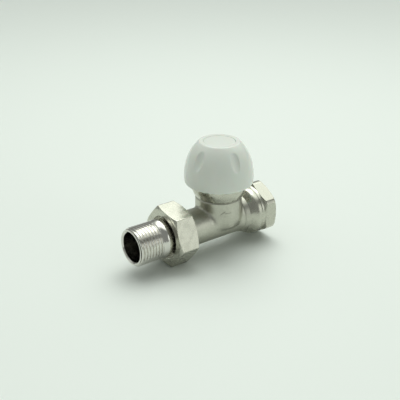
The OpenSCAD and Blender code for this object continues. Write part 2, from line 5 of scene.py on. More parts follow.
import bmesh
import bpy
import numpy as np
from mathutils import Matrix, Vector


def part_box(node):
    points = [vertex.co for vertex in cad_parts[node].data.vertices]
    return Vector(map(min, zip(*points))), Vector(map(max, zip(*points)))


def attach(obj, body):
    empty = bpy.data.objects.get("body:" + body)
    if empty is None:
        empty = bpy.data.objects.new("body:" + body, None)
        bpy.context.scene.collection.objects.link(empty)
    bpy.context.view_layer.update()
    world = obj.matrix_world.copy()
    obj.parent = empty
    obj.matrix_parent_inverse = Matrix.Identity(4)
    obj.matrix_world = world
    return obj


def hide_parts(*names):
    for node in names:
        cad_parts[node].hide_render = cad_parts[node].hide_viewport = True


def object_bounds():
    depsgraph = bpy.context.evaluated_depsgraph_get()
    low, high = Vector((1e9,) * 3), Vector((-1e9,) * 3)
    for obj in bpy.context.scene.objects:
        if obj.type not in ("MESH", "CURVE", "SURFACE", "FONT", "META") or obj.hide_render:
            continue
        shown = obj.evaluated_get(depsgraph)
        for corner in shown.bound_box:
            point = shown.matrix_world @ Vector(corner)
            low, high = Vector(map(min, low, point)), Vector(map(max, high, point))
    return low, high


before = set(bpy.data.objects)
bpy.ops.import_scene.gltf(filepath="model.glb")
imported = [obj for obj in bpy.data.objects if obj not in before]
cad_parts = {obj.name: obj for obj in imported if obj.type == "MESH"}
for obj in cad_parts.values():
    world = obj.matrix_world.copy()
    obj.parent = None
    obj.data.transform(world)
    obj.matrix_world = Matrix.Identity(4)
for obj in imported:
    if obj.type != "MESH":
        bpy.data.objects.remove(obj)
CAD_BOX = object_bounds()
MM = 0.001

# Sizes in millimetres. Places along the run count from the stem axis, minus towards the tail.
STEM_X = 0.5 * (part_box("stem")[0].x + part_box("stem")[1].x) / MM
TAU = 2 * math.pi

TUBE_R = 10.1
FACE_X = -32.6
UNION_THREAD_R = 13.1
UNION_THREAD_LEN = 5.6
UNION_PITCH = 1.814
SPIGOT_ROOM_R = 9.26
SPIGOT_ROOM_LEN = 3.7
OUTLET_BORE_R = 7.2
INLET_BORE_R = 7.8
THROAT_X = 11.5

CHAMBER_R = 12.95
CHAMBER_FOOT_Z = -2.0
CHAMBER_ROUND = 4.0
RIM_Z = 15.0
CHAMBER_BORE_R = 9.2
BONNET_HOLE_R = 10.45
SEAT_FLOOR_Z = -1.0
SEAT_LIP_R = 6.3
ORIFICE_R = 5.0
SEAT_WALL = 2.4
PASSAGE_FLOOR_Z = -8.3
FILLET = 1.5

HEX_START = 23.7
INLET_X = 31.3
HEX_FLATS = 27.8
HEX_CORNER_R = 15.4
HEX_CHAMFER = 1.3
BEAD_X = 20.1
BEAD_R = 13.9
WAIST_STEP_X = 11.8
WAIST_FLARE_X = 14.6
WAIST_ROOT_R = 10.85
WAIST_FOOT_R = 11.3
GROOVE_DEPTH = 0.25
PIPE_THREAD_R = 10.48
PIPE_THREAD_DEPTH = 1.0
INLET_THREAD_X = 18.3

NUT_FRONT = -37.6
NUT_BACK = -25.4
NUT_FLATS = 30.0
NUT_TURN = 39.4
NUT_CHAMFER = 1.9
NUT_HOLE_R = 11.4
NUT_BORE_R = 13.16
NUT_LIP_X = -35.12

TAIL_X = -58.0
TAIL_THREAD_X = -43.4
TAIL_BORE_R = 8.2
TAIL_SHOULDER_R = 10.8
TAIL_NECK_R = 10.3
TAIL_COLLAR_R = 12.1
COLLAR_BACK = -35.1
TAIL_STEP_X = -38.1
SPIGOT_R = 9.2
SPIGOT_LEN = 3.4
LUG_LEN = 6.0
LUG_W = 2.4
LUG_H = 1.3

BONNET_TOP_Z = 28.0
COLLAR_TOP_Z = 22.2
BONNET_FLARE_R = 15.1
HEAD_THREAD_R = 14.0
GLAND_ROOM_R = 6.3

WHEEL_RIM_Z = 23.0
WHEEL_TOP_Z = 46.4
WHEEL_RIM_R = 18.7
WHEEL_R = 19.1
WHEEL_WIDE_Z = 26.5
WHEEL_WALL = 1.9
CROWN_H = 24.0
CROWN_POWER = 2.08
CAP_R = 8.6
CAP_SEAT_Z = 45.1
SPINDLE_Z = 38.2
WHEEL_BOSS_R = 6.4
SERRATION_R = 4.05
SCREW_FLOOR_Z = 42.0
SCREW_ROOM_R = 5.1
FLUTE_COUNT = 5
FLUTE_TURN = -7.0
FLUTE_Z = 39.2
FLUTE_LEN = 11.2
FLUTE_DEPTH = 1.3
FLUTE_R = 3.5


class Value:
    """A socket in a node tree, whose operators add Math nodes."""

    def __init__(self, graph, socket):
        self.graph = graph
        self.socket = socket

    def math(self, operation, *others):
        return self.graph.math(operation, self, *others)

    def __add__(self, other):
        return self.math("ADD", other)

    __radd__ = __add__

    def __sub__(self, other):
        return self.math("SUBTRACT", other)

    def __rsub__(self, other):
        return self.graph.math("SUBTRACT", other, self)

    def __mul__(self, other):
        return self.math("MULTIPLY", other)

    __rmul__ = __mul__

    def __truediv__(self, other):
        return self.math("DIVIDE", other)

    def __rtruediv__(self, other):
        return self.graph.math("DIVIDE", other, self)

    def __neg__(self):
        return self * -1.0


class Graph:
    """Adds nodes to one shader or geometry tree."""

    def __init__(self, tree):
        self.tree = tree

    def node(self, kind, settings=None, sockets=None):
        """One node: its settings first, then the values or links of its inputs."""
        made = self.tree.nodes.new(kind)
        for name, value in (settings or {}).items():
            if name == "stops":
                self._stops(made.color_ramp.elements, value)
            else:
                setattr(made, name, value)
        for name, value in (sockets or {}).items():
            self.feed(made.inputs[name], value)
        return made

    def _stops(self, elements, stops):
        while len(elements) < len(stops):
            elements.new(1.0)
        for element, (place, colour) in zip(elements, stops):
            element.position = place
            element.color = (*colour, 1.0)

    def feed(self, socket, value):
        if isinstance(value, Value):
            self.tree.links.new(value.socket, socket)
        elif isinstance(value, bpy.types.NodeSocket):
            self.tree.links.new(value, socket)
        else:
            socket.default_value = value

    def out(self, node, name=0):
        return Value(self, node.outputs[name])

    def math(self, operation, *values):
        sockets = dict(enumerate(values))
        return self.out(self.node("ShaderNodeMath", {"operation": operation}, sockets))

    def vector(self, operation, *values, out=0):
        node = self.node("ShaderNodeVectorMath", {"operation": operation})
        for socket, value in zip(node.inputs, values):
            self.feed(socket, value)
        return self.out(node, out)

    def scaled(self, direction, length):
        node = self.node("ShaderNodeVectorMath", {"operation": "SCALE"}, {0: direction, "Scale": length})
        return self.out(node)

    def smooth(self, value, low, high, to_low=0.0, to_high=1.0):
        """A soft step of a value from low to high."""
        node = self.node("ShaderNodeMapRange", {"interpolation_type": "SMOOTHSTEP"},
                         {"Value": value, "From Min": low, "From Max": high,
                          "To Min": to_low, "To Max": to_high})
        return self.out(node)


def geometry_tree(name, inputs):
    """A geometry tree with named inputs, given as (name, socket type) pairs."""
    tree = bpy.data.node_groups.new(name, "GeometryNodeTree")
    tree.interface.new_socket("Geometry", in_out="INPUT", socket_type="NodeSocketGeometry")
    for label, kind in inputs:
        tree.interface.new_socket(label, in_out="INPUT", socket_type="NodeSocket" + kind)
    tree.interface.new_socket("Material", in_out="INPUT", socket_type="NodeSocketMaterial")
    tree.interface.new_socket("Geometry", in_out="OUTPUT", socket_type="NodeSocketGeometry")
    graph = Graph(tree)
    source = graph.node("NodeGroupInput")
    given = {socket.name: Value(graph, socket) for socket in source.outputs if socket.name}
    return graph, given


def close_tree(graph, given, geometry):
    """Ends a geometry tree with plain geometry that carries its material."""
    real = graph.node("GeometryNodeRealizeInstances", None, {"Geometry": geometry})
    dressed = graph.node("GeometryNodeSetMaterial", None,
                         {"Geometry": real.outputs[0], "Material": given["Material"]})
    graph.node("NodeGroupOutput", None, {"Geometry": dressed.outputs[0]})
    return graph.tree


def round_frame(graph, given):
    """Distance along an axis, distance from it, angle about it and the outward direction."""
    place = graph.vector("SUBTRACT", graph.out(graph.node("GeometryNodeInputPosition")), given["Centre"])
    along = graph.vector("DOT_PRODUCT", place, given["Axis"], out="Value")
    outward = graph.vector("SUBTRACT", place, graph.scaled(given["Axis"], along))
    side = graph.vector("CROSS_PRODUCT", given["Axis"], given["Zero"])
    angle = graph.math("ARCTAN2", graph.vector("DOT_PRODUCT", outward, side, out="Value"),
                       graph.vector("DOT_PRODUCT", outward, given["Zero"], out="Value"))
    radius = graph.vector("LENGTH", outward, out="Value")
    return along, radius, angle, graph.vector("NORMALIZE", outward)


AXIS_INPUTS = [("Centre", "Vector"), ("Axis", "Vector"), ("Zero", "Vector")]


def thread_tree():
    """Cuts a round-rooted thread into the turned band between two radii."""
    graph, given = geometry_tree("cut_thread", AXIS_INPUTS + [
        ("Pitch", "Float"), ("Depth", "Float"), ("Start", "Float"), ("End", "Float"),
        ("Inner Radius", "Float"), ("Outer Radius", "Float")])
    along, radius, angle, outward = round_frame(graph, given)
    turns = along / given["Pitch"] - angle / TAU
    wave = (turns.math("FRACT") * 2.0 - 1.0).math("ABSOLUTE")
    tooth = graph.smooth(wave, 0.06, 0.86)
    run_out = given["Pitch"] * 0.8
    band = (graph.smooth(along, given["Start"], given["Start"] + run_out)
            * graph.smooth(along, given["End"], given["End"] - run_out))
    ring = (radius.math("GREATER_THAN", given["Inner Radius"])
            * radius.math("LESS_THAN", given["Outer Radius"]))
    move = graph.scaled(outward, -(given["Depth"] * tooth * band * ring))
    moved = graph.node("GeometryNodeSetPosition", None, {"Geometry": given["Geometry"], "Offset": move})
    return close_tree(graph, given, moved.outputs[0])


def flats_tree():
    """Mills flats with softened corners into a turned blank."""
    graph, given = geometry_tree("mill_flats", AXIS_INPUTS + [
        ("Sides", "Float"), ("Across Flats", "Float"), ("Turn", "Float"), ("Softness", "Float"),
        ("Start", "Float"), ("End", "Float")])
    along, radius, angle, outward = round_frame(graph, given)
    step = TAU / given["Sides"]
    folded = (angle - given["Turn"]).math("FLOORED_MODULO", step) - step * 0.5
    flat = given["Across Flats"] * 0.5 / folded.math("COSINE")
    milled = radius.math("SMOOTH_MIN", flat, given["Softness"])
    inside = along.math("GREATER_THAN", given["Start"]) * along.math("LESS_THAN", given["End"])
    move = graph.scaled(outward, (milled - radius) * inside)
    moved = graph.node("GeometryNodeSetPosition", None, {"Geometry": given["Geometry"], "Offset": move})
    return close_tree(graph, given, moved.outputs[0])


def flutes_tree():
    """Presses finger flutes into a dome: each is the inner side of a ring that dips into it."""
    graph, given = geometry_tree("press_flutes", AXIS_INPUTS + [
        ("Count", "Float"), ("Turn", "Float"), ("Height", "Float"), ("Dome Radius", "Float"),
        ("Slope", "Float"), ("Depth", "Float"), ("Ring Radius", "Float"), ("Flute Radius", "Float"),
        ("Softness", "Float")])
    along, radius, angle, outward = round_frame(graph, given)
    step = TAU / given["Count"]
    folded = (angle - given["Turn"] + step * 0.5).math("FLOORED_MODULO", step) - step * 0.5
    sideways = radius * folded.math("SINE")
    reach = radius * folded.math("COSINE") - given["Dome Radius"]
    rise = along - given["Height"]
    lean, upright = given["Slope"].math("SINE"), given["Slope"].math("COSINE")
    out = reach * upright + rise * lean + given["Depth"] - given["Flute Radius"] - given["Ring Radius"]
    climb = rise * upright - reach * lean
    ring = (out * out + climb * climb).math("SQRT")
    inward = ring - given["Ring Radius"]
    gap = (inward * inward + sideways * sideways).math("SQRT")
    push = (given["Flute Radius"] - gap).math("SMOOTH_MAX", 0.0, given["Softness"]) / gap
    # The push lies along the ring's own radius and the side direction
    out_push = out / ring * inward * push
    climb_push = climb / ring * inward * push
    side_push = sideways * push
    reach_push = out_push * upright - climb_push * lean
    rise_push = out_push * lean + climb_push * upright
    middle = angle - folded
    ahead = graph.vector("CROSS_PRODUCT", given["Axis"], given["Zero"])
    face = graph.vector("ADD", graph.scaled(given["Zero"], middle.math("COSINE")),
                        graph.scaled(ahead, middle.math("SINE")))
    across = graph.vector("CROSS_PRODUCT", given["Axis"], face)
    move = graph.vector("ADD", graph.scaled(face, reach_push),
                        graph.vector("ADD", graph.scaled(across, side_push),
                                     graph.scaled(given["Axis"], rise_push)))
    moved = graph.node("GeometryNodeSetPosition", None, {"Geometry": given["Geometry"], "Offset": move})
    return close_tree(graph, given, moved.outputs[0])


RUN_AXIS = {"Centre": (STEM_X * MM, 0, 0), "Axis": (1, 0, 0), "Zero": (0, -1, 0)}
STEM_AXIS = {"Centre": (STEM_X * MM, 0, 0), "Axis": (0, 0, 1), "Zero": (0, -1, 0)}


def run_tree(piece, tree, material, **sizes):
    """Runs a geometry tree on a piece and keeps the result as its plain mesh."""
    modifier = piece.modifiers.new(tree.name, "NODES")
    modifier.node_group = tree
    sizes["Material"] = material
    for item in tree.interface.items_tree:
        name = item.name.replace(" ", "_")
        if item.in_out == "INPUT" and name in sizes:
            modifier[item.identifier] = sizes[name]
    keep_result(piece)
    return piece


def keep_result(piece):
    """Turns a piece's modifiers into its plain mesh."""
    shown = piece.evaluated_get(bpy.context.evaluated_depsgraph_get())
    mesh = bpy.data.meshes.new_from_object(shown)
    piece.modifiers.clear()
    piece.data = mesh


def new_piece(name, mesh, material=None):
    piece = bpy.data.objects.new(name, mesh)
    bpy.context.scene.collection.objects.link(piece)
    if material:
        mesh.materials.append(material)
    return piece


def mesh_piece(name, points, faces, material=None):
    """A closed mesh from millimetre points counted from the stem axis, faces outward."""
    placed = (np.asarray(points) + [STEM_X, 0, 0]) * MM
    mesh = bpy.data.meshes.new(name)
    mesh.from_pydata(placed.tolist(), [], faces)
    work = bmesh.new()
    work.from_mesh(mesh)
    bmesh.ops.recalc_face_normals(work, faces=work.faces)
    work.to_mesh(mesh)
    work.free()
    mesh.shade_smooth()
    return new_piece(name, mesh, material)


def rounded(corners, radius=0.2, dense=()):
    """Profile points with rounded corners; dense lists (from, to, step) stretches to fill."""
    points = [np.array(corner, float) for corner in corners]
    path = [points[0]]
    for before, here, after in zip(points, points[1:], points[2:]):
        back, ahead = before - here, after - here
        room = 0.45 * min(np.linalg.norm(back), np.linalg.norm(ahead))
        cut = min(radius, room)
        first = here + back / np.linalg.norm(back) * cut
        last = here + ahead / np.linalg.norm(ahead) * cut
        bend = abs(back[0] * ahead[1] - back[1] * ahead[0])
        bend /= np.linalg.norm(back) * np.linalg.norm(ahead)
        if bend < 0.05:
            path.append(here)
            continue
        for t in (0, 0.25, 0.5, 0.75, 1):
            path.append((1 - t) ** 2 * first + 2 * t * (1 - t) * here + t * t * last)
    path.append(points[-1])
    filled = [path[0]]
    for start, end in zip(path, path[1:]):
        middle = 0.5 * (start[0] + end[0])
        step = next((s for low, high, s in dense if low <= middle <= high), None)
        count = max(1, math.ceil(np.linalg.norm(end - start) / step)) if step else 1
        filled += [start + (end - start) * i / count for i in range(1, count + 1)]
    return filled


def turned(name, profile, axis, columns, material=None):
    """A round solid turned from (along, radius) points; a radius of 0 closes an end."""
    angles = np.arange(columns) * TAU / columns
    rings, points, count = [], [], 0
    for along, radius in profile:
        if radius < 1e-6:
            ring = np.array([[along, 0, 0]])
        else:
            ring = np.c_[np.full(columns, along), -radius * np.cos(angles), radius * np.sin(angles)]
        rings.append(np.arange(count, count + len(ring)))
        count += len(ring)
        points.append(ring)
    points = np.concatenate(points)
    if axis == "stem":
        points = np.c_[points[:, 2], points[:, 1], points[:, 0]]
    looped = len(rings[0]) > 1
    pairs = list(zip(rings, rings[1:] + rings[:1])) if looped else list(zip(rings, rings[1:]))
    faces = [face for one, two in pairs for face in band_faces(one, two)]
    return mesh_piece(name, points, faces, material)


def band_faces(one, two):
    """Faces between two rings of points, either of which may be a single point."""
    if len(one) == 1:
        return [(int(one[0]), int(two[i]), int(two[i - 1])) for i in range(len(two))]
    if len(two) == 1:
        return [(int(one[i]), int(two[0]), int(one[i - 1])) for i in range(len(one))]
    return [(int(one[i - 1]), int(one[i]), int(two[i]), int(two[i - 1])) for i in range(len(one))]


def combine(piece, cutter, operation):
    """Joins a closed piece with another or cuts the other out of it, and uses the other up."""
    modifier = piece.modifiers.new("combine", "BOOLEAN")
    modifier.operation = operation
    modifier.solver = "MANIFOLD"
    modifier.object = cutter
    keep_result(piece)
    bpy.data.objects.remove(cutter)
    return piece


def crease(piece, degrees):
    """Smooth shading that stays sharp at edges over an angle."""
    piece.data.shade_smooth()
    piece.data.set_sharp_from_angle(angle=math.radians(degrees))
    return piece


# Materials

GREY_NICKEL = (0.55, 0.545, 0.47)


def material(name, base, roughness, **more):
    """A principled material; returns it with its graph and shader node."""
    made = bpy.data.materials.new(name)
    made.use_nodes = True
    graph = Graph(made.node_tree)
    shader = made.node_tree.nodes["Principled BSDF"]
    shader.inputs["Base Color"].default_value = (*base, 1.0)
    shader.inputs["Roughness"].default_value = roughness
    for label, value in more.items():
        shader.inputs[label.replace("_", " ")].default_value = value
    return made, graph, shader


def place_on(graph, scale=(1.0, 1.0, 1.0)):
    """Object coordinates in millimetres, stretched by a scale."""
    coordinates = graph.node("ShaderNodeTexCoord").outputs["Object"]
    stretch = tuple(s / MM for s in scale)
    return graph.out(graph.node("ShaderNodeMapping", None, {"Vector": coordinates, "Scale": stretch}))


def noise(graph, where, scale, detail=2.0, roughness=0.5, distortion=0.0):
    return graph.out(graph.node("ShaderNodeTexNoise", None, {
        "Vector": where, "Scale": scale, "Detail": detail, "Roughness": roughness,
        "Distortion": distortion}), "Factor" if bpy.app.version >= (5, 0, 0) else "Fac")


def bump(graph, height, distance, strength=1.0, normal=None):
    sockets = {"Height": height, "Distance": distance * MM, "Strength": strength}
    if normal:
        sockets["Normal"] = normal
    return graph.out(graph.node("ShaderNodeBump", None, sockets))


def tint(graph, factor, dark, light):
    """A colour between two, chosen by a factor."""
    node = graph.node("ShaderNodeMix", {"data_type": "RGBA"}, {"Factor": factor})
    graph.feed(node.inputs[6], (*dark, 1.0))
    graph.feed(node.inputs[7], (*light, 1.0))
    return graph.out(node, 2)


def shade(colour, factor):
    return tuple(part * factor for part in colour)


def cast_nickel():
    """Nickel over a shot-blasted casting: fine grain that glitters in the light."""
    made, graph, shader = material("cast_nickel", GREY_NICKEL, 0.34, Metallic=1.0)
    where = place_on(graph)
    grain = noise(graph, where, 3.2, 3.0, 0.6)
    dimples = noise(graph, where, 1.1, 2.0)
    waves = noise(graph, where, 0.22, 2.0)
    shader_normal = bump(graph, waves, 0.10, normal=bump(graph, dimples, 0.035,
                         normal=bump(graph, grain, 0.022)))
    graph.feed(shader.inputs["Normal"], shader_normal)
    graph.feed(shader.inputs["Roughness"], graph.smooth(waves, 0.3, 0.7, 0.3, 0.4))
    graph.feed(shader.inputs["Base Color"], tint(graph, graph.smooth(dimples, 0.3, 0.7),
               shade(GREY_NICKEL, 0.9), GREY_NICKEL))
    return made


def turned_nickel():
    """Nickel over a turned surface: fine lathe lines round the run."""
    made, graph, shader = material("turned_nickel", GREY_NICKEL, 0.26, Metallic=1.0)
    lines = noise(graph, place_on(graph, (9.0, 0.05, 0.05)), 1.0, 3.0, 0.7)
    stains = noise(graph, place_on(graph), 0.35, 3.0)
    graph.feed(shader.inputs["Normal"], bump(graph, lines, 0.006,
               normal=bump(graph, stains, 0.02)))
    graph.feed(shader.inputs["Roughness"], graph.smooth(stains, 0.3, 0.7, 0.2, 0.31))
    graph.feed(shader.inputs["Base Color"], tint(graph, graph.smooth(lines, 0.3, 0.7),
               shade(GREY_NICKEL, 0.94), GREY_NICKEL))
    return made


def bright_nickel():
    """Bright nickel on the tailpiece."""
    bright = (0.70, 0.685, 0.64)
    made, graph, shader = material("bright_nickel", bright, 0.14, Metallic=1.0)
    lines = noise(graph, place_on(graph, (14.0, 0.05, 0.05)), 1.0, 2.0, 0.7)
    stains = noise(graph, place_on(graph), 0.5, 3.0)
    graph.feed(shader.inputs["Normal"], bump(graph, lines, 0.003,
               normal=bump(graph, stains, 0.012)))
    graph.feed(shader.inputs["Roughness"], graph.smooth(stains, 0.3, 0.7, 0.1, 0.2))
    return made


def white_plastic():
    """Glossy moulded white plastic with the faint waves of moulding."""
    white = (0.80, 0.83, 0.77)
    made, graph, shader = material("white_plastic", white, 0.2, IOR=1.5,
                                   Subsurface_Weight=0.12, Subsurface_Scale=0.0015)
    where = place_on(graph)
    waves = noise(graph, where, 0.06, 1.0)
    skin = noise(graph, where, 2.5, 2.0)
    graph.feed(shader.inputs["Normal"], bump(graph, waves, 0.08, normal=bump(graph, skin, 0.002)))
    graph.feed(shader.inputs["Roughness"], graph.smooth(skin, 0.25, 0.75, 0.13, 0.2))
    return made


def plain_metal(name, base, rough):
    """Turned metal for the inner pieces, with lines round the stem."""
    made, graph, shader = material(name, base, rough, Metallic=1.0)
    lines = noise(graph, place_on(graph, (0.05, 0.05, 9.0)), 1.0, 3.0, 0.7)
    graph.feed(shader.inputs["Normal"], bump(graph, lines, 0.006))
    graph.feed(shader.inputs["Roughness"], graph.smooth(lines, 0.3, 0.7, rough - 0.05, rough + 0.07))
    graph.feed(shader.inputs["Base Color"], tint(graph, lines, shade(base, 0.88), base))
    return made


def black_rubber():
    made, graph, shader = material("black_rubber", (0.02, 0.02, 0.02), 0.55)
    specks = noise(graph, place_on(graph), 5.0, 3.0)
    graph.feed(shader.inputs["Normal"], bump(graph, specks, 0.01))
    graph.feed(shader.inputs["Roughness"], graph.smooth(specks, 0.3, 0.7, 0.45, 0.65))
    return made


# Pieces


def run_radius(x):
    """Outer radius of the casting along the run, without the chamber."""
    waist = np.array(waist_points())
    return np.where(x < 0, TUBE_R, np.interp(x, waist[:, 0], waist[:, 1]))


def waist_points():
    """Profile from the chamber to the inlet hexagon: step, flare, bead and groove."""
    steps = 14
    flare = [(WAIST_FLARE_X + (BEAD_X - WAIST_FLARE_X) * i / steps,
              WAIST_FOOT_R + (BEAD_R - WAIST_FOOT_R) * math.sin(math.pi / 2 * (i / steps) ** 1.15))
             for i in range(steps + 1)]
    return ([(0, TUBE_R), (WAIST_STEP_X - 2, TUBE_R + 0.1), (WAIST_STEP_X - 0.2, TUBE_R + 0.4),
             (WAIST_STEP_X, WAIST_ROOT_R)] + flare
            + [(BEAD_X + 1.2, BEAD_R), (BEAD_X + 1.8, BEAD_R - GROOVE_DEPTH),
               (HEX_START - 0.9, BEAD_R - GROOVE_DEPTH), (HEX_START, BEAD_R - 0.05)])


def casting_run(thread, flats, finish):
    """Union thread, tube, waist and inlet hexagon."""
    thread_end = FACE_X + UNION_THREAD_LEN
    slope = HEX_CHAMFER * math.tan(math.radians(30))
    corner_foot = HEX_CORNER_R - HEX_CHAMFER
    profile = rounded(
        [(FACE_X, 0), (FACE_X, UNION_THREAD_R - 0.7), (FACE_X + 0.7, UNION_THREAD_R),
         (thread_end, UNION_THREAD_R), (thread_end + 0.8, TUBE_R + 1), (thread_end + 1.6, TUBE_R),
         (-14, TUBE_R)] + waist_points()
        + [(HEX_START + 0.02, corner_foot), (HEX_START + slope, HEX_CORNER_R),
           (INLET_X - slope, HEX_CORNER_R), (INLET_X, corner_foot), (INLET_X, 0)],
        0.15, [(FACE_X, thread_end, 0.18), (HEX_START - 0.3, HEX_START + slope + 0.2, 0.1),
               (HEX_START + slope, INLET_X - slope - 0.2, 0.7), (INLET_X - slope - 0.2, INLET_X, 0.1),
               (-26, 12, 3)])
    run = turned("valve_casting", profile, "run", 288)
    run_tree(run, thread, finish, **RUN_AXIS, Pitch=UNION_PITCH * MM, Depth=0.9 * MM,
             Start=(FACE_X - 2) * MM, End=(thread_end + 0.4) * MM,
             Inner_Radius=(TUBE_R + 1.2) * MM, Outer_Radius=(UNION_THREAD_R + 0.1) * MM)
    return run_tree(run, flats, finish, **RUN_AXIS, Sides=6.0, Across_Flats=HEX_FLATS * MM,
                    Turn=math.radians(90), Softness=0.25 * MM, Start=(HEX_START + 0.01) * MM,
                    End=(INLET_X + 1) * MM)


def chamber_field(points):
    """How far points lie outside the chamber's wall and its rounded foot."""
    x, y, z = points.T
    side = np.hypot(x, y) - CHAMBER_R
    below = CHAMBER_FOOT_Z + CHAMBER_ROUND - z
    foot = np.hypot(np.maximum(side + CHAMBER_ROUND, 0), below) - CHAMBER_ROUND
    return np.where(below > 0, foot, side)


def run_field(points):
    """How far points lie outside the run."""
    return np.hypot(points[:, 1], points[:, 2]) - run_radius(points[:, 0])


def casting_field(points):
    """The chamber and the run, blended with a fillet."""
    one, two = chamber_field(points), run_field(points)
    overlap = np.maximum(FILLET - np.abs(one - two), 0) / FILLET
    return np.minimum(one, two) - overlap ** 2 * FILLET / 4


def settle(points, field):
    """Moves points along the field's slope until they lie on its surface."""
    reach = 1e-4
    for _ in range(12):
        value = field(points)
        slope = np.stack([(field(points + reach * np.eye(3)[k]) - value) / reach for k in range(3)], 1)
        steepness = np.maximum((slope ** 2).sum(1), 0.2)
        points = points - slope * (value / steepness)[:, None]
    return points


def wall_path(turns, travel):
    """Points down the chamber's wall and round its foot, at directions and travels from the rim."""
    straight = RIM_Z - CHAMBER_FOOT_Z - CHAMBER_ROUND
    bend = np.clip((travel - straight) / CHAMBER_ROUND, 0, math.pi / 2)
    radius = CHAMBER_R - CHAMBER_ROUND * (1 - np.cos(bend))
    height = RIM_Z - np.minimum(travel, straight) - CHAMBER_ROUND * np.sin(bend)
    return np.stack(np.broadcast_arrays(radius * np.sin(turns), -radius * np.cos(turns), height), -1)


def chamber_piece(finish):
    """The chamber with a fillet that runs out onto the tube and the waist."""
    columns = 336
    # Where the wall meets the run, at evenly spaced places round the joint
    turns = np.linspace(0, TAU, 2881)
    travel = np.linspace(0, RIM_Z + 6, 1600)
    grid = wall_path(turns[:, None], travel[None, :])
    outside = run_field(grid.reshape(-1, 3)).reshape(grid.shape[:2]) > 0
    meets = travel[np.argmin(outside, axis=1)]
    joint = wall_path(turns, meets)
    length = np.r_[0, np.cumsum(np.linalg.norm(np.diff(joint, axis=0), axis=1))]
    even = np.arange(columns) / columns * length[-1]
    turn = np.interp(even, length, turns)
    meet = np.interp(even, length, meets)
    meet = sum(np.roll(meet, k) for k in (-1, 0, 1)) / 3
    joint = wall_path(turn, meet)
    # Rows from the rim down to the joint
    rim_cut = 0.5
    rows = [np.c_[(CHAMBER_R - rim_cut) * np.sin(turn), -(CHAMBER_R - rim_cut) * np.cos(turn),
                  np.full(columns, RIM_Z)]]
    gaps = [2.4, 2.0, 1.65, 1.35, 1.05, 0.8, 0.55, 0.35, 0.15]
    for share in (0, 0.25, 0.5, 0.75):
        rows.append(wall_path(turn, 0.7 + (meet - gaps[0] - 0.7) * share))
    rows += [wall_path(turn, meet - gap) for gap in gaps]
    fixed = 2
    # Rows out over the run, square to the joint
    tangent = np.roll(joint, -1, axis=0) - np.roll(joint, 1, axis=0)
    upward = joint * [0, 1, 1]
    away = np.cross(tangent, upward)
    away /= np.linalg.norm(away, axis=1)[:, None]
    away *= np.sign((away * joint).sum(1))[:, None]
    spreads = [0.0, 0.15, 0.35, 0.55, 0.8, 1.05, 1.3]
    rows += [joint + away * spread for spread in spreads]
    count = len(rows)
    points = np.concatenate(rows)
    start = fixed * columns
    points[start:] = settle(points[start:], casting_field)
    # Last rows dip under the run's surface and close inside it
    edge = points[-columns:]
    for spread, sink in ((0.2, 0.03), (0.6, 0.5)):
        ring = settle(edge + away * spread, run_field)
        radial = ring * [0, 1, 1]
        radial /= np.linalg.norm(radial, axis=1)[:, None]
        points = np.concatenate([points, ring - radial * sink])
        count += 1
    points = np.concatenate([[[0, 0, RIM_Z]], points, [[0, 0, 0]]])
    rings = [np.array([0])] + [1 + k * columns + np.arange(columns) for k in range(count)]
    rings.append(np.array([1 + count * columns]))
    faces = [face for one, two in zip(rings, rings[1:]) for face in band_faces(one, two)]
    return mesh_piece("chamber", points, faces, finish)


def rod(profile, axis, columns=96):
    """A cutter turned from a profile that starts and ends on its axis."""
    return turned("cutter", profile, axis, columns)


def straight_rod(from_, to, radius, axis, columns=96):
    return rod([(from_, 0), (from_, radius), (to, radius), (to, 0)], axis, columns)


def obround(from_, to, middle_z, radius, side_step):
    """A cutter along the run with a wide round-sided section."""
    half = 24
    angles = [math.pi * i / half for i in range(half + 1)]
    outline = [(side_step + radius * math.sin(a), middle_z + radius * math.cos(a)) for a in angles]
    outline += [(-side_step - radius * math.sin(a), middle_z - radius * math.cos(a)) for a in angles]
    count = len(outline)
    points = [(x, y, z) for x in (from_, to) for y, z in outline]
    faces = [(i, (i + 1) % count, count + (i + 1) % count, count + i) for i in range(count)]
    faces += [tuple(range(count)), tuple(range(2 * count - 1, count - 1, -1))]
    return mesh_piece("cutter", points, faces)


def inlet_thread_cutter(thread, finish):
    """The threaded inlet: a bore whose wall carries the female thread."""
    crest_r = PIPE_THREAD_R - PIPE_THREAD_DEPTH
    lead = 1.1
    profile = rounded([(INLET_THREAD_X, 0), (INLET_THREAD_X, crest_r), (INLET_X - lead, crest_r),
                       (INLET_X + 1, crest_r + lead + 1), (INLET_X + 1, 0)], 0.05,
                      [(INLET_THREAD_X + 0.1, INLET_X - 0.1, 0.16)])
    cutter = turned("cutter", profile, "run", 160)
    return run_tree(cutter, thread, finish, **RUN_AXIS, Pitch=UNION_PITCH * MM,
                    Depth=-PIPE_THREAD_DEPTH * MM, Start=(INLET_THREAD_X + 0.3) * MM,
                    End=(INLET_X + 0.2) * MM, Inner_Radius=(crest_r - 0.1) * MM,
                    Outer_Radius=(crest_r + 0.4) * MM)


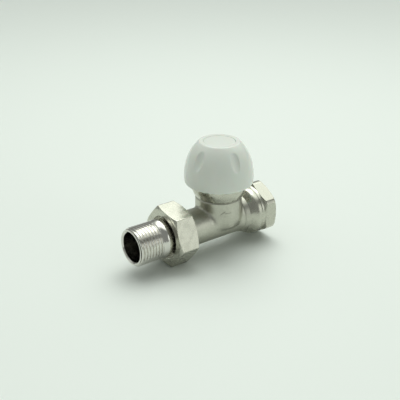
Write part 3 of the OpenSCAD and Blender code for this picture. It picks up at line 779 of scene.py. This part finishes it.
def cut_passages(body, thread, finish):
    """Opens the way through the casting: inlet, seat, chamber and outlet."""
    roof_z = SEAT_FLOOR_Z - SEAT_WALL
    low_r = (roof_z - PASSAGE_FLOOR_Z) / 2
    pocket = straight_rod(PASSAGE_FLOOR_Z, roof_z, ORIFICE_R + 1, "stem")
    combine(pocket, straight_rod(-THROAT_X, THROAT_X, TUBE_R - 1.8, "run"), "INTERSECT")
    chamber = rod([(SEAT_FLOOR_Z - SEAT_WALL - 0.5, 0), (SEAT_FLOOR_Z - SEAT_WALL - 0.5, ORIFICE_R),
                   (-0.2, ORIFICE_R), (0, ORIFICE_R + 0.2), (0, SEAT_LIP_R - 0.2), (-0.2, SEAT_LIP_R),
                   (SEAT_FLOOR_Z, SEAT_LIP_R), (SEAT_FLOOR_Z, CHAMBER_BORE_R), (RIM_Z - 7, CHAMBER_BORE_R),
                   (RIM_Z - 7, BONNET_HOLE_R), (RIM_Z + 1, BONNET_HOLE_R), (RIM_Z + 1, 0)], "stem", 128)
    outlet_end = -ORIFICE_R - (SEAT_LIP_R - ORIFICE_R) - 1
    cutters = [inlet_thread_cutter(thread, finish),
               straight_rod(THROAT_X, INLET_THREAD_X + 0.5, INLET_BORE_R, "run"),
               obround(0, THROAT_X + 0.5, PASSAGE_FLOOR_Z + low_r, low_r, 2),
               pocket, chamber,
               obround(-THROAT_X - 0.5, outlet_end, SEAT_FLOOR_Z + 4, 4, 2),
               straight_rod(FACE_X + 1, -THROAT_X, OUTLET_BORE_R, "run"),
               straight_rod(FACE_X - 1, FACE_X + SPIGOT_ROOM_LEN, SPIGOT_ROOM_R, "run")]
    for cutter in cutters:
        combine(body, cutter, "DIFFERENCE")
    return body


def flow_arrow():
    """Cast arrow on the chamber's front, with soft edges."""
    rise, turn, middle_z = 0.35, math.radians(-20), 8.2
    length, width = 6.6, 4.0
    neck = length / 2 - 2.8
    outline = [(-length / 2, 0), (-neck, -width / 2), (-neck, -width / 5), (length / 2, -width / 5),
               (length / 2, width / 5), (-neck, width / 5), (-neck, width / 2)]
    count = len(outline)
    points = []
    for radius in (CHAMBER_R - 0.5, CHAMBER_R + rise):
        for across, up in outline:
            angle = turn + across / CHAMBER_R
            points.append((radius * math.sin(angle), -radius * math.cos(angle), middle_z + up))
    faces = [(i, (i + 1) % count, count + (i + 1) % count, count + i) for i in range(count)]
    faces += [tuple(range(count)), tuple(range(2 * count - 1, count - 1, -1))]
    arrow = mesh_piece("arrow", points, faces)
    bevel = arrow.modifiers.new("soft", "BEVEL")
    bevel.width = 0.16 * MM
    bevel.segments = 3
    keep_result(arrow)
    return arrow


def valve_casting(thread, flats, finishes):
    """The body: run and chamber in one casting, with its passages."""
    cast, machined = finishes["cast"], finishes["turned"]
    body = casting_run(thread, flats, machined)
    combine(body, chamber_piece(cast), "UNION")
    combine(body, flow_arrow(), "UNION")
    cut_passages(body, thread, machined)
    paint_by_place(body, cast, machined)
    return crease(body, 28)


def paint_by_place(body, cast, machined):
    """Cast finish on the chamber and the tube, machined finish on the rest."""
    mesh = body.data
    mesh.materials.clear()
    mesh.materials.append(cast)
    mesh.materials.append(machined)
    centres = np.empty(len(mesh.polygons) * 3, np.float32)
    mesh.polygons.foreach_get("center", centres)
    centres = centres.reshape(-1, 3) / MM - [STEM_X, 0, 0]
    union_end = FACE_X + UNION_THREAD_LEN + 1.7
    is_cast = (centres[:, 0] > union_end) & (centres[:, 0] < WAIST_FLARE_X)
    mesh.polygons.foreach_set("material_index", np.where(is_cast, 0, 1).astype(np.int32))
    mesh.update()


def union_nut(thread, flats, finish):
    """Union nut: chamfered blank, six flats, lip and female thread."""
    corner = NUT_FLATS / 2 / math.cos(math.radians(30))
    slope = NUT_CHAMFER * math.tan(math.radians(30))
    foot = corner - NUT_CHAMFER
    touch = NUT_FLATS / 2 - 0.25
    crest_r = NUT_BORE_R - 1.0
    corners = [(NUT_FRONT + 1.2, NUT_HOLE_R), (NUT_FRONT + 0.4, NUT_HOLE_R), (NUT_FRONT, NUT_HOLE_R + 0.4),
               (NUT_FRONT, touch), (NUT_FRONT + 0.16, foot), (NUT_FRONT + slope, corner),
               (NUT_BACK - slope, corner), (NUT_BACK - 0.16, foot), (NUT_BACK, touch),
               (NUT_BACK, NUT_BORE_R + 0.8), (NUT_BACK - 1.0, crest_r), (NUT_LIP_X + 2, crest_r),
               (NUT_LIP_X + 1.2, NUT_BORE_R), (NUT_LIP_X, NUT_BORE_R), (NUT_LIP_X, NUT_HOLE_R)]
    profile = rounded(corners, 0.12, [(NUT_FRONT - 0.1, NUT_FRONT + slope + 0.3, 0.11),
                                      (NUT_BACK - slope - 0.3, NUT_BACK + 0.1, 0.11),
                                      (NUT_LIP_X + 2, NUT_BACK - 0.9, 0.2)])
    nut = turned("union_nut_body", profile, "run", 480)
    run_tree(nut, thread, finish, **RUN_AXIS, Pitch=UNION_PITCH * MM, Depth=-1.0 * MM,
             Start=(NUT_LIP_X + 1.8) * MM, End=(NUT_BACK + 0.2) * MM,
             Inner_Radius=(crest_r - 0.1) * MM, Outer_Radius=(crest_r + 0.3) * MM)
    run_tree(nut, flats, finish, **RUN_AXIS, Sides=6.0, Across_Flats=NUT_FLATS * MM,
             Turn=math.radians(90 + NUT_TURN), Softness=0.28 * MM, Start=(NUT_FRONT - 1) * MM,
             End=(NUT_BACK + 1) * MM)
    return crease(nut, 32)


def tailpiece(thread, finish):
    """Tailpiece: outer thread, barrel-shaped shoulder, neck, collar, spigot and bore."""
    root_r = PIPE_THREAD_R - 0.5
    steps = 16
    barrel = []
    for i in range(1, steps + 1):
        t = i / steps
        swell = (root_r + (TAIL_SHOULDER_R - root_r) * math.sin(math.pi * t) if t < 0.5
                 else TAIL_NECK_R + (TAIL_SHOULDER_R - TAIL_NECK_R) * (1 + math.cos(TAU * (t - 0.5))) / 2)
        barrel.append((TAIL_THREAD_X + (NUT_FRONT - TAIL_THREAD_X) * t, swell))
    lead = 0.9
    corners = [(TAIL_X, TAIL_BORE_R + 0.6), (TAIL_X, PIPE_THREAD_R - lead), (TAIL_X + lead, PIPE_THREAD_R),
               (TAIL_THREAD_X, PIPE_THREAD_R), (TAIL_THREAD_X + 0.01, root_r)] + barrel + [
               (COLLAR_BACK, TAIL_NECK_R), (COLLAR_BACK, TAIL_COLLAR_R - 0.3),
               (COLLAR_BACK + 0.3, TAIL_COLLAR_R), (FACE_X, TAIL_COLLAR_R), (FACE_X, SPIGOT_R),
               (FACE_X + SPIGOT_LEN - 0.6, SPIGOT_R), (FACE_X + SPIGOT_LEN, SPIGOT_R - 0.6),
               (FACE_X + SPIGOT_LEN, OUTLET_BORE_R), (TAIL_STEP_X, OUTLET_BORE_R),
               (TAIL_STEP_X, TAIL_BORE_R), (TAIL_X + 0.6, TAIL_BORE_R)]
    profile = rounded(corners, 0.12, [(TAIL_X + 0.05, TAIL_THREAD_X, 0.15)])
    # The bore needs no rows as close as the thread's
    tail = turned("tailpiece_body", profile, "run", 224)
    run_tree(tail, thread, finish, **RUN_AXIS, Pitch=UNION_PITCH * MM, Depth=1.0 * MM,
             Start=(TAIL_X - 1.2) * MM, End=(TAIL_THREAD_X + 0.2) * MM,
             Inner_Radius=(PIPE_THREAD_R - lead) * MM, Outer_Radius=(PIPE_THREAD_R + 0.1) * MM)
    for side in (-1, 1):
        combine(tail, key_lug(side), "UNION")
    return crease(tail, 35)


def key_lug(side):
    """One lug inside the tailpiece, with soft edges."""
    low, high = TAIL_BORE_R - LUG_H, TAIL_BORE_R + 0.5
    points = [(TAIL_X + LUG_LEN + x, y * LUG_W / 2, side * z)
              for x in (0, LUG_LEN) for y in (-1, 1) for z in (low, high)]
    faces = [(0, 1, 3, 2), (4, 6, 7, 5), (0, 4, 5, 1), (2, 3, 7, 6), (0, 2, 6, 4), (1, 5, 7, 3)]
    lug = mesh_piece("lug", points, faces)
    bevel = lug.modifiers.new("soft", "BEVEL")
    bevel.width = 0.25 * MM
    bevel.segments = 3
    keep_result(lug)
    return lug


def bonnet(thread, finish):
    """Bonnet: flared collar over the chamber, then the thread that takes the head."""
    steps = 12
    start_z, end_z = RIM_Z + 0.5, COLLAR_TOP_Z - 1
    foot_r = CHAMBER_R + 0.3
    flare = [(start_z + (end_z - start_z) * i / steps,
              foot_r + (BONNET_FLARE_R - foot_r) * math.sin(math.pi / 2 * i / steps))
             for i in range(steps + 1)]
    lead = 0.7
    corners = [(8.6, GLAND_ROOM_R), (8.6, 10.4), (RIM_Z, 10.4), (RIM_Z, foot_r - 0.5)] + flare + [
               (COLLAR_TOP_Z, BONNET_FLARE_R), (COLLAR_TOP_Z, HEAD_THREAD_R - lead),
               (COLLAR_TOP_Z + 0.6, HEAD_THREAD_R - lead), (COLLAR_TOP_Z + 1.2, HEAD_THREAD_R),
               (BONNET_TOP_Z - lead, HEAD_THREAD_R), (BONNET_TOP_Z, HEAD_THREAD_R - lead),
               (BONNET_TOP_Z, GLAND_ROOM_R)]
    profile = rounded(corners, 0.18, [(COLLAR_TOP_Z + 0.6, BONNET_TOP_Z, 0.16)])
    collar = turned("bonnet_collar", profile, "stem", 224)
    run_tree(collar, thread, finish, **STEM_AXIS, Pitch=1.5 * MM, Depth=0.7 * MM,
             Start=(COLLAR_TOP_Z + 0.7) * MM, End=(BONNET_TOP_Z + 0.6) * MM,
             Inner_Radius=(HEAD_THREAD_R - lead) * MM, Outer_Radius=(HEAD_THREAD_R + 0.1) * MM)
    return crease(collar, 35)


def dome_radius(z):
    """Radius of the handwheel's dome at a height."""
    if z < WHEEL_WIDE_Z:
        share = (z - WHEEL_RIM_Z) / (WHEEL_WIDE_Z - WHEEL_RIM_Z)
        return WHEEL_RIM_R + (WHEEL_R - WHEEL_RIM_R) * math.sin(math.pi / 2 * share)
    rise = (z - WHEEL_WIDE_Z) / CROWN_H
    return WHEEL_R * (1 - rise ** CROWN_POWER) ** (1 / CROWN_POWER)


def handwheel_dome(flutes, finish):
    """Handwheel: thin glossy dome with finger flutes, an inner boss and a recess for the cap."""
    edge, top_edge, steps = 0.45, 0.3, 110
    shoulder_z = WHEEL_TOP_Z - top_edge
    ceiling_z = CAP_SEAT_Z - 1.5
    heights = [WHEEL_RIM_Z + edge + (shoulder_z - WHEEL_RIM_Z - edge) * math.sin(math.pi / 2 * i / steps)
               for i in range(steps + 1)]
    outer = [(z, dome_radius(z)) for z in heights]
    inner_steps = 24
    inner = []
    for i in range(inner_steps, -1, -1):
        z = WHEEL_RIM_Z + (ceiling_z - WHEEL_RIM_Z) * math.sin(math.pi / 2 * i / inner_steps)
        inner.append((z, min(dome_radius(z), dome_radius(z + WHEEL_WALL * 0.8)) - WHEEL_WALL))
    rim = [(WHEEL_RIM_Z + edge * (1 - math.sin(a)), WHEEL_RIM_R - edge * (1 - math.cos(a)))
           for a in (math.pi / 2 * k / 4 for k in range(4, 0, -1))]
    top_r = dome_radius(shoulder_z)
    crown = rounded([(shoulder_z, top_r), (WHEEL_TOP_Z, top_r - 2 * top_edge), (WHEEL_TOP_Z, CAP_R + 0.12),
                     (CAP_SEAT_Z, CAP_R + 0.12), (CAP_SEAT_Z, SCREW_ROOM_R), (SCREW_FLOOR_Z, SCREW_ROOM_R),
                     (SCREW_FLOOR_Z, SERRATION_R), (SPINDLE_Z, SERRATION_R), (SPINDLE_Z, WHEEL_BOSS_R),
                     (ceiling_z, WHEEL_BOSS_R), inner[0]], 0.14)
    profile = rim + outer[:-1] + crown + inner[1:]
    dome = turned("handwheel_dome", profile, "stem", 400)
    slope = math.atan2(dome_radius(FLUTE_Z - 1) - dome_radius(FLUTE_Z + 1), 2)
    ring_r = 1 / (8 * FLUTE_DEPTH / FLUTE_LEN ** 2 - 1 / CROWN_H) - FLUTE_R
    run_tree(dome, flutes, finish, **STEM_AXIS, Count=float(FLUTE_COUNT), Turn=math.radians(FLUTE_TURN),
             Height=FLUTE_Z * MM, Dome_Radius=dome_radius(FLUTE_Z) * MM, Slope=slope,
             Depth=FLUTE_DEPTH * MM, Ring_Radius=ring_r * MM, Flute_Radius=FLUTE_R * MM,
             Softness=0.3 * MM)
    return crease(dome, 40)


def handwheel_disc(finish):
    """Round cap in the handwheel's top, faintly crowned, with a soft edge."""
    crown = [(WHEEL_TOP_Z - 0.1 * (r / CAP_R) ** 2, r) for r in (7.8, 6.5, 5, 3.4, 1.8, 0)]
    corners = [(CAP_SEAT_Z, 0), (CAP_SEAT_Z, CAP_R), (WHEEL_TOP_Z - 0.1, CAP_R)] + crown
    return crease(turned("handwheel_disc", rounded(corners, 0.3), "stem", 256, finish), 40)


# The pieces that show, in place of their plain solids

finishes = {"cast": cast_nickel(), "turned": turned_nickel(), "bright": bright_nickel(),
            "plastic": white_plastic(), "brass": plain_metal("bare_brass", (0.62, 0.42, 0.16), 0.28),
            "steel": plain_metal("spring_steel", (0.56, 0.56, 0.55), 0.3), "rubber": black_rubber()}
threads, flats, flutes = thread_tree(), flats_tree(), flutes_tree()

SHOWN = [
    (valve_casting(threads, flats, finishes), "valve", "valve_body", "nickel_cast"),
    (bonnet(threads, finishes["turned"]), "valve", "bonnet", "nickel_turned"),
    (union_nut(threads, flats, finishes["turned"]), "nut", "union_nut", "nickel_turned"),
    (tailpiece(threads, finishes["bright"]), "tail", "tailpiece", "nickel_bright"),
    (handwheel_dome(flutes, finishes["plastic"]), "handwheel", "handwheel_shell", "white_plastic"),
    (handwheel_disc(finishes["plastic"]), "handwheel", "handwheel_cap", "white_plastic"),
]
for piece, body, node, slot in SHOWN:
    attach(piece, body)
    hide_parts(node)

INNER = {
    "brass": ["gland_nut", "disc_holder", "disc_nut", "drive_screw"],
    "steel": ["stem", "stem_clip", "spring_plate", "return_spring", "disc_washer", "screw_washer",
              "handwheel_screw"],
    "rubber": ["bonnet_seal", "gland_seal", "gland_outer_seal", "valve_disc", "union_seal"],
    "plastic": ["head_base"],
}
for finish, names in INNER.items():
    for name in names:
        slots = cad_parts[name].material_slots
        for slot in slots:
            slot.material = finishes[finish]


# Studio


def pale_floor():
    """A plain pale floor under the lowest corner of the nut."""
    half = 3.0
    lowest = CAD_BOX[0].z - 0.1 * MM
    mesh = bpy.data.meshes.new("floor")
    mesh.from_pydata([(x * half, y * half, lowest) for x, y in ((-1, -1), (1, -1), (1, 1), (-1, 1))],
                     [], [(0, 1, 2, 3)])
    made, graph, shader = material("floor_paper", (0.80, 0.84, 0.80), 0.6)
    fibres = noise(graph, place_on(graph), 0.8, 3.0)
    graph.feed(shader.inputs["Roughness"], graph.smooth(fibres, 0.2, 0.8, 0.55, 0.65))
    new_piece("floor", mesh, made)


def toward(azimuth, elevation):
    """A direction, its azimuth counted in degrees from the front towards the inlet."""
    turn, rise = math.radians(azimuth), math.radians(elevation)
    return (math.sin(turn) * math.cos(rise), -math.cos(turn) * math.cos(rise), math.sin(rise))


def studio_air():
    """Soft light from all round, with the studio's bright panels: (direction, width, strength)."""
    panels = [((115, 62), (26, 44), 1.3), ((31, 14), (10, 20), 1.0), ((-100, 30), (18, 40), 0.1),
              ((-150, 55), (20, 40), 0.3)]
    world = bpy.data.worlds.new("studio")
    world.use_nodes = True
    bpy.context.scene.world = world
    graph = Graph(world.node_tree)
    direction = graph.node("ShaderNodeTexCoord").outputs["Generated"]
    strength = 0.27
    for (azimuth, elevation), (inner, outer), power in panels:
        facing = graph.vector("DOT_PRODUCT", direction, toward(azimuth, elevation), out="Value")
        edge = [math.cos(math.radians(angle)) for angle in (outer, inner)]
        strength = graph.smooth(facing, *edge) * power + strength
    background = world.node_tree.nodes["Background"]
    background.inputs["Color"].default_value = (0.95, 1.0, 0.95, 1.0)
    graph.feed(background.inputs["Strength"], strength)


def soft_box(name, place, target, size, power):
    """A square soft light aimed at a point."""
    light = bpy.data.lights.new(name, "AREA")
    light.shape = "SQUARE"
    light.size = size
    light.energy = power
    light.color = (0.97, 1.0, 0.97)
    lamp = bpy.data.objects.new(name, light)
    lamp.location = place
    lamp.rotation_euler = (Vector(target) - Vector(place)).to_track_quat("-Z", "Y").to_euler()
    bpy.context.scene.collection.objects.link(lamp)


def photo_camera():
    """The camera at the photograph's angle: its place and its right, up and back directions."""
    lens_per_width = 722.74 / 400
    right = Vector((0.79300, -0.60919, 0.00507))
    up = Vector((0.24823, 0.33071, 0.91050))
    back = Vector((-0.55635, -0.72077, 0.41347))
    place = Vector((STEM_X - 231.717, -283.446, 177.599)) * MM
    data = bpy.data.cameras.new("camera")
    data.sensor_width = 36.0
    data.lens = data.sensor_width * lens_per_width
    data.clip_start = 0.01
    camera = bpy.data.objects.new("camera", data)
    axes = Matrix((right, up, back)).transposed().to_4x4()
    camera.matrix_world = Matrix.Translation(place) @ axes
    bpy.context.scene.collection.objects.link(camera)
    bpy.context.scene.camera = camera


pale_floor()
studio_air()
soft_box("key", (0.15, 0.2, 0.65), (-0.03, 0, 0), 0.5, 1.7)
photo_camera()
bpy.context.scene.view_settings.view_transform = "Standard"
